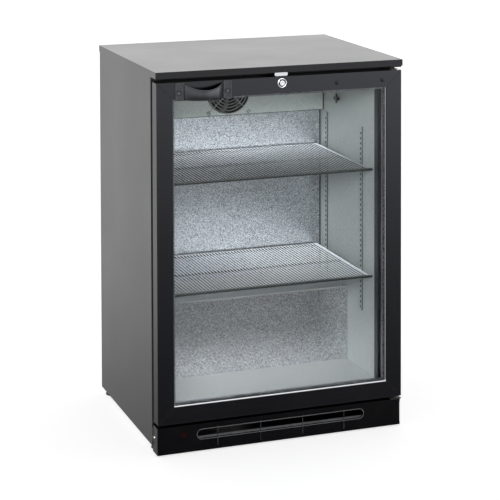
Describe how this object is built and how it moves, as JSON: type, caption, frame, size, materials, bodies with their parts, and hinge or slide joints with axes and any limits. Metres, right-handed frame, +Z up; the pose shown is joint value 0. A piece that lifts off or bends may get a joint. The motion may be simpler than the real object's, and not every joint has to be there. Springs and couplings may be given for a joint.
{
  "type": "undercounter refrigerator",
  "caption": "Free-standing undercounter bottle cooler with a framed glass door, scoop handle, cam lock, wire shelves, fan-cooled inside and vented plinth.",
  "frame": {"origin": "on the floor, under the middle of the overall box (worktop's back edge to the handle's front)", "axes": "+Z up, front (door side) towards -Y, +X to the right as seen from the front"},
  "size_m": [0.6, 0.545, 0.875],
  "materials": {
    "black_sheet": "black plastic-coated steel, satin, very fine grain; it looks grey where it mirrors a bright room at a low angle",
    "black_steel": "black powder coat, satin",
    "frame_steel": "dark grey enamel, satin",
    "galvanised": "galvanised sheet, dull",
    "liner": "smooth grained liner sheet, satin",
    "stucco": "stucco-embossed aluminium, semi-bright",
    "trim": "dark grey extruded plastic",
    "foam": "rigid polyurethane foam",
    "coil_fins": "thin aluminium fins",
    "fan_black": "moulded, matt",
    "wire": "bright zinc-plated wire",
    "clip_steel": "zinc-plated",
    "lamp_lens": "opal diffuser",
    "door_black": "black anodised and lacquered aluminium section, satin",
    "black_plastic": "moulded ABS, fine grain",
    "glass": "clear tempered pane",
    "spacer": "dark anodised spacer bar, finely perforated",
    "gasket": "soft PVC, matt",
    "lock_chrome": "polished",
    "white_plastic": "moulded acetal",
    "red_lens": "translucent red lens",
    "foot_rubber": "matt",
    "compressor_black": "black enamel",
    "copper": "drawn copper tube",
    "cord": "PVC sheath"
  },
  "bodies": {
    "cabinet": {"worktop": "black_sheet", "left_side_panel": "black_sheet", "right_side_panel": "black_sheet", "rear_panel": "galvanised", "front_frame": "frame_steel", "base_tray": "galvanised", "feet": "foot_rubber", "cabinet_foam": "foam", "liner_left": "liner", "liner_right": "liner", "liner_back": "liner", "liner_floor": "liner", "step_panel": "stucco", "mouth_trim": "trim", "rear_duct_panel": "stucco", "fan_panel": "liner", "evaporator": "coil_fins", "evaporator_fan_case": "fan_black", "fan_guard": "clip_steel", "drain_tray": "white_plastic", "shelf_pilasters": "liner", "ceiling_lamp": "lamp_lens", "probe_holder": "black_plastic", "cabinet_screws": "clip_steel", "strike_plate": "lock_chrome", "top_hinge": "black_steel", "bottom_hinge": "black_steel", "plinth": "black_plastic", "pilot_light": "red_lens", "compressor": "compressor_black", "condenser": "black_steel", "condenser_fan_case": "fan_black", "refrigerant_pipes": "copper", "drip_tray": "white_plastic", "thermostat": "white_plastic", "power_cord": "cord", "rear_grille": "black_steel"},
    "door": {"door_stile_left": "door_black", "door_stile_right": "door_black", "door_rail_top": "door_black", "door_rail_bottom": "door_black", "door_corner_keys": "galvanised", "outer_glass": "glass", "inner_glass": "glass", "glass_spacer": "spacer", "glazing_bead": "black_plastic", "door_gasket": "gasket", "handle": "black_plastic", "handle_screws": "black_steel", "hole_plugs": "black_plastic", "lock_barrel": "lock_chrome", "hinge_bushes": "white_plastic"},
    "lock": {"lock_cylinder": "lock_chrome"},
    "upper_shelf_body": {"upper_shelf": "wire", "upper_shelf_clips": "clip_steel"},
    "lower_shelf_body": {"lower_shelf": "wire", "lower_shelf_clips": "clip_steel"},
    "evaporator_fan": {"evaporator_fan_wheel": "fan_black"},
    "condenser_fan": {"condenser_fan_wheel": "coil_fins"},
    "knob": {"thermostat_knob": "black_plastic"}
  },
  "joints": [
    {"name": "door_hinge", "type": "hinge", "parent": "cabinet", "child": "door", "pos_m": [0.283, -0.2275, 0], "axis": [0, 0, 1], "range_deg": [0, 105]},
    {"name": "lock_turn", "type": "hinge", "parent": "door", "child": "lock", "pos_m": [0, -0.2445, 0.8355], "axis": [0, 1, 0], "range_deg": [0, 90]},
    {"name": "upper_shelf_height", "type": "slide", "parent": "cabinet", "child": "upper_shelf_body", "axis": [0, 0, 1], "range_m": [-0.125, 0.0625]},
    {"name": "lower_shelf_height", "type": "slide", "parent": "cabinet", "child": "lower_shelf_body", "axis": [0, 0, 1], "range_m": [-0.0375, 0.0625]},
    {"name": "evaporator_fan_spin", "type": "hinge", "parent": "cabinet", "child": "evaporator_fan", "pos_m": [0.005, 0.173, 0.756], "axis": [0, 1, 0], "continuous": true},
    {"name": "condenser_fan_spin", "type": "hinge", "parent": "cabinet", "child": "condenser_fan", "pos_m": [0.118, 0.1035, 0.12], "axis": [0, 1, 0], "continuous": true},
    {"name": "thermostat_turn", "type": "hinge", "parent": "cabinet", "child": "knob", "pos_m": [0.185, 0.2605, 0.175], "axis": [0, 1, 0], "range_deg": [0, 270]}
  ]
}
